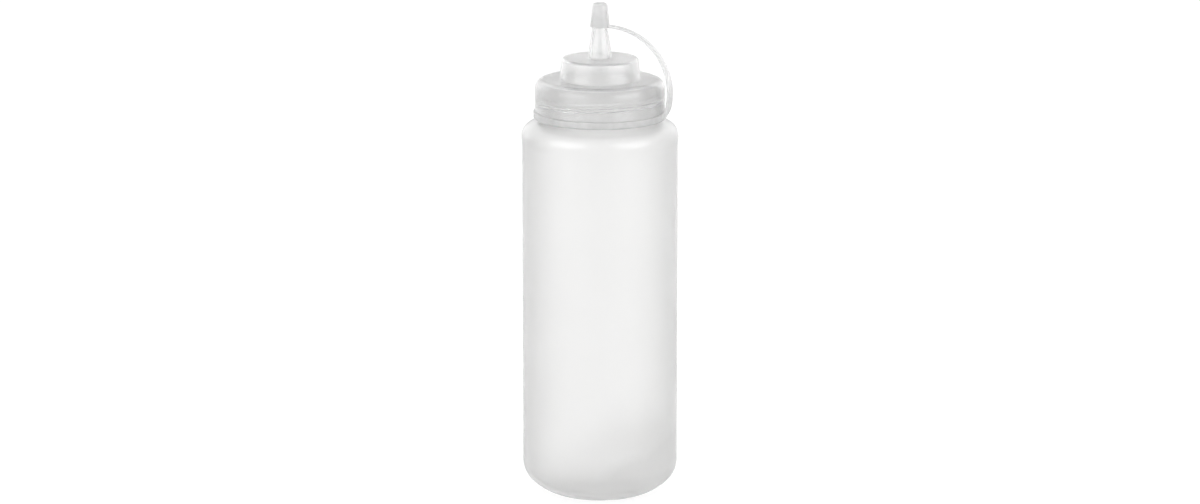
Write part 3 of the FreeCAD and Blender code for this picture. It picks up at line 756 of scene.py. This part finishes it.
def remap(tree, value, low, high, start, end):
    """A value moved from one range to another, clamped at its ends."""
    node = add_node(
        tree, "ShaderNodeMapRange",
        Value=value, From_Min=low, From_Max=high, To_Min=start, To_Max=end,
    )
    return node.outputs[0]


def noise(tree, place, scale, detail):
    """The grey value of a noise pattern."""
    pattern = add_node(tree, "ShaderNodeTexNoise", Vector=place, Scale=scale, Detail=detail)
    return pattern.outputs["Fac"]


def blend(tree, share_of_second, first, second):
    """The output of a node that mixes two shaders."""
    mix = add_node(tree, "ShaderNodeMixShader", Fac=share_of_second)
    tree.links.new(first.outputs[0], mix.inputs[1])
    tree.links.new(second.outputs[0], mix.inputs[2])
    return mix.outputs[0]


def thick_and_shaded_base(tree, looks, axes, cloud):
    """1 in the slanting, patchy zone where the blown base is thicker and is darkened with painted
    shade, otherwise 0.
    """
    across = calculate(
        tree, "ADD",
        calculate(tree, "MULTIPLY", axes["X"], cos(looks.base_turn)),
        calculate(tree, "MULTIPLY", axes["Y"], sin(looks.base_turn)),
    )
    slant = calculate(tree, "MULTIPLY", across, tan(looks.base_slope))
    level = calculate(tree, "SUBTRACT", axes["Z"], slant)
    half = looks.base_fade / 2
    patchy = calculate(tree, "ADD", level, remap(tree, cloud, NOISE_LOW, NOISE_HIGH, -half, half))
    top = looks.base_level
    below = remap(tree, patchy, top, top - looks.base_fade, 0.0, 1.0)
    foot = looks.base_foot
    above = remap(tree, axes["Z"], foot, foot + looks.base_rise, 0.0, 1.0)
    return calculate(tree, "MULTIPLY", below, above)


def plastic(name, tint, roughness, milk, looks, blown):
    """Natural soft plastic: part of the light passes through it scattered.

    Blown plastic also has upright draw lines, and it is milkier where its base is thicker; that
    zone is also darker, with painted shade.
    """
    material = bpy.data.materials.new(name)
    material.use_nodes = True
    tree = material.node_tree
    tree.nodes.clear()
    place = tree.nodes.new("ShaderNodeTexCoord").outputs["Object"]
    cloud = noise(tree, place, looks.cloud_scale, CLOUD_DETAIL)
    least, most = milk * (1 - looks.cloud), milk * (1 + looks.cloud)
    scattered = remap(tree, cloud, NOISE_LOW, NOISE_HIGH, least, most)
    surface = noise(tree, place, looks.grain_scale, GRAIN_DETAIL)
    if blown:
        ior, shine, satin = looks.blown_ior, looks.bottle_shine, looks.bottle_satin
        axes = add_node(tree, "ShaderNodeSeparateXYZ", Vector=place).outputs
        slow = calculate(tree, "MULTIPLY", axes["Z"], looks.line_stretch)
        drawn = add_node(tree, "ShaderNodeCombineXYZ", X=axes["X"], Y=axes["Y"], Z=slow).outputs[0]
        lines = noise(tree, drawn, looks.line_scale, GRAIN_DETAIL)
        raised = calculate(tree, "MULTIPLY", lines, looks.lines)
        surface = calculate(tree, "ADD", surface, raised)
        thick_and_shaded = thick_and_shaded_base(tree, looks, axes, cloud)
        milkier = calculate(tree, "MULTIPLY", thick_and_shaded, looks.base_milk)
        scattered = calculate(tree, "ADD", scattered, milkier)
        # Painted shade: darkens the plastic's colour in the base's zone.
        painted_shade = calculate(tree, "MULTIPLY", thick_and_shaded, looks.base_painted_shade)
        value = calculate(tree, "SUBTRACT", 1.0, painted_shade)
    else:
        ior, shine, satin = looks.moulded_ior, looks.lid_shine, looks.lid_satin
        value = 1.0
    # The plastic's colour; for blown plastic it carries the painted shade of the base's zone.
    shade = add_node(tree, "ShaderNodeHueSaturation", Color=(*tint, 1.0), Value=value).outputs[0]
    smoother, rougher = roughness - satin, roughness + satin
    rough = remap(tree, cloud, NOISE_LOW, NOISE_HIGH, smoother, rougher)
    bump = add_node(
        tree, "ShaderNodeBump",
        Height=surface, Strength=looks.grain, Distance=looks.grain_depth,
    )
    opaque = calculate(tree, "MULTIPLY", scattered, 1.0 - looks.glow)
    body = add_node(
        tree, "ShaderNodeBsdfPrincipled", Base_Color=shade, Roughness=rough, IOR=ior,
        Coat_Weight=shine, Coat_Roughness=looks.shine_roughness,
        Transmission_Weight=calculate(tree, "SUBTRACT", 1.0, opaque),
        Normal=bump.outputs["Normal"],
    )
    through = add_node(tree, "ShaderNodeBsdfTranslucent", Color=shade)
    glowing = calculate(tree, "MULTIPLY", scattered, looks.glow)
    surface_out = blend(tree, glowing, body, through)
    out = tree.nodes.new("ShaderNodeOutputMaterial")
    tree.links.new(surface_out, out.inputs["Surface"])
    return material


def seen_directly(tree):
    """1 where the camera, a reflection or clear plastic looks at the surface, otherwise 0."""
    path = tree.nodes.new("ShaderNodeLightPath").outputs
    straight = calculate(tree, "SUBTRACT", path["Is Transmission Ray"], path["Is Diffuse Ray"])
    direct = calculate(tree, "MAXIMUM", path["Is Camera Ray"], straight)
    return calculate(tree, "MAXIMUM", direct, path["Is Glossy Ray"])


class OBJECT_OT_stage(bpy.types.Operator):
    """Sets up the pale floor, the soft lamps and the camera"""

    bl_idname = "object.squeeze_bottle_stage"
    bl_label = "Stage"

    def execute(self, context):
        looks = context.scene.stage_looks
        self.floor(looks)
        self.world(context.scene, looks)
        self.lamps(looks)
        self.camera(context.scene, looks)
        context.scene.view_settings.view_transform = "Standard"
        cycles = context.scene.cycles
        cycles.max_bounces = cycles.transmission_bounces = looks.bounces
        return {"FINISHED"}

    def floor(self, looks):
        bpy.ops.object.select_all(action="DESELECT")
        bpy.ops.mesh.primitive_circle_add(
            vertices=FLOOR_SIDES, radius=looks.floor_radius, fill_type="NGON", location=(0, 0, 0),
        )
        floor = bpy.context.object
        floor.name = floor.data.name = "floor"
        material = bpy.data.materials.new("floor_paper")
        material.use_nodes = True
        tree = material.node_tree
        tree.nodes.clear()
        paper = add_node(tree, "ShaderNodeBsdfDiffuse", Color=(*looks.floor, 1.0))
        grey = (*[looks.floor_shadow] * 3, 1.0)
        shadowed = add_node(tree, "ShaderNodeBsdfDiffuse", Color=grey)
        glow = add_node(tree, "ShaderNodeEmission", Color=WHITE, Strength=looks.floor_glow)
        white = tree.nodes.new("ShaderNodeAddShader")
        tree.links.new(shadowed.outputs[0], white.inputs[0])
        tree.links.new(glow.outputs[0], white.inputs[1])
        surface = blend(tree, seen_directly(tree), paper, white)
        out = tree.nodes.new("ShaderNodeOutputMaterial")
        tree.links.new(surface, out.inputs["Surface"])
        floor.data.materials.append(material)

    def world(self, scene, looks):
        scene.world = bpy.data.worlds.new("studio")
        scene.world.use_nodes = True
        tree = scene.world.node_tree
        tree.nodes.clear()
        sky = tree.nodes.new("ShaderNodeTexCoord").outputs["Generated"]
        height = add_node(tree, "ShaderNodeSeparateXYZ", Vector=sky).outputs["Z"]
        strength = remap(tree, height, 0.0, 1.0, looks.ambient, looks.overhead)
        dim = add_node(tree, "ShaderNodeBackground", Color=WHITE, Strength=strength)
        white = add_node(tree, "ShaderNodeBackground", Color=WHITE, Strength=1.0)
        surface = blend(tree, seen_directly(tree), dim, white)
        out = tree.nodes.new("ShaderNodeOutputWorld")
        tree.links.new(surface, out.inputs["Surface"])

    def lamps(self, looks):
        reach, target = looks.lamp_reach, Vector((0, 0, looks.lamp_aim))
        for name, turn, power in (
            ("lamp_left", -looks.front_turn, 1.0),
            ("lamp_right", looks.front_turn, 1.0),
            ("lamp_back_left", -looks.back_turn, looks.back_share),
            ("lamp_back_right", looks.back_turn, looks.back_share),
        ):
            azimuth = looks.turn + turn
            place = Vector((reach * sin(azimuth), -reach * cos(azimuth), looks.lamp_height))
            bpy.ops.object.light_add(type="AREA", location=place)
            lamp = bpy.context.object
            lamp.name = lamp.data.name = name
            lamp.data.shape = "RECTANGLE"
            lamp.data.size, lamp.data.size_y = looks.lamp_width, looks.lamp_depth
            lamp.data.energy = looks.softbox * power
            lamp.rotation_euler = (target - place).to_track_quat("-Z", "Y").to_euler()

    def camera(self, scene, looks):
        turn, pitch = looks.turn, looks.pitch
        back = Vector((sin(turn) * cos(pitch), -cos(turn) * cos(pitch), sin(pitch)))
        bpy.ops.object.camera_add(location=Vector((0, 0, looks.aim)) + looks.distance * back)
        camera = bpy.context.object
        camera.name = camera.data.name = "camera"
        camera.rotation_euler = (-back).to_track_quat("-Z", "Y").to_euler()
        camera.data.lens = looks.lens
        camera.data.sensor_width = looks.sensor
        camera.data.clip_start, camera.data.clip_end = 0.1, 100.0  # metres, past the floor's edge
        scene.camera = camera


class VIEW3D_PT_squeeze_bottle(bpy.types.Panel):
    bl_idname = "VIEW3D_PT_squeeze_bottle"
    bl_label = "Squeeze bottle"
    bl_space_type = "VIEW_3D"
    bl_region_type = "UI"
    bl_category = "Bottle"

    def draw(self, context):
        for group, operators in PANEL:
            box = self.layout.box()
            settings = getattr(context.scene, group)
            for name in settings.bl_rna.properties.keys():
                if name not in ("rna_type", "name"):
                    box.prop(settings, name)
            for operator in operators:
                box.operator(operator)


GROUPS = {
    "bottle_sizes": BottleSizes,
    "thread_sizes": ThreadSizes,
    "lid_sizes": LidSizes,
    "cap_sizes": CapSizes,
    "plastic_looks": PlasticLooks,
    "stage_looks": StageLooks,
}
PANEL = (
    ("plastic_looks", ()),
    ("thread_sizes", ()),
    ("bottle_sizes", (MESH_OT_bottle.bl_idname,)),
    ("lid_sizes", (MESH_OT_screw_lid.bl_idname,)),
    ("cap_sizes", (MESH_OT_tip_cap.bl_idname,)),
    ("stage_looks", (OBJECT_OT_stage.bl_idname,)),
)
CLASSES = (
    *GROUPS.values(),
    MESH_OT_bottle,
    MESH_OT_screw_lid,
    MESH_OT_tip_cap,
    OBJECT_OT_stage,
    VIEW3D_PT_squeeze_bottle,
)


def register():
    for kind in CLASSES:
        bpy.utils.register_class(kind)
    for name, kind in GROUPS.items():
        setattr(bpy.types.Scene, name, PointerProperty(type=kind))


def unregister():
    for name in GROUPS:
        delattr(bpy.types.Scene, name)
    for kind in reversed(CLASSES):
        bpy.utils.unregister_class(kind)


def main():
    register()
    bpy.ops.mesh.squeeze_bottle()
    bpy.ops.mesh.squeeze_bottle_lid()
    bpy.ops.mesh.squeeze_bottle_cap()
    bpy.ops.object.squeeze_bottle_stage()


if __name__ == "__main__":
    main()
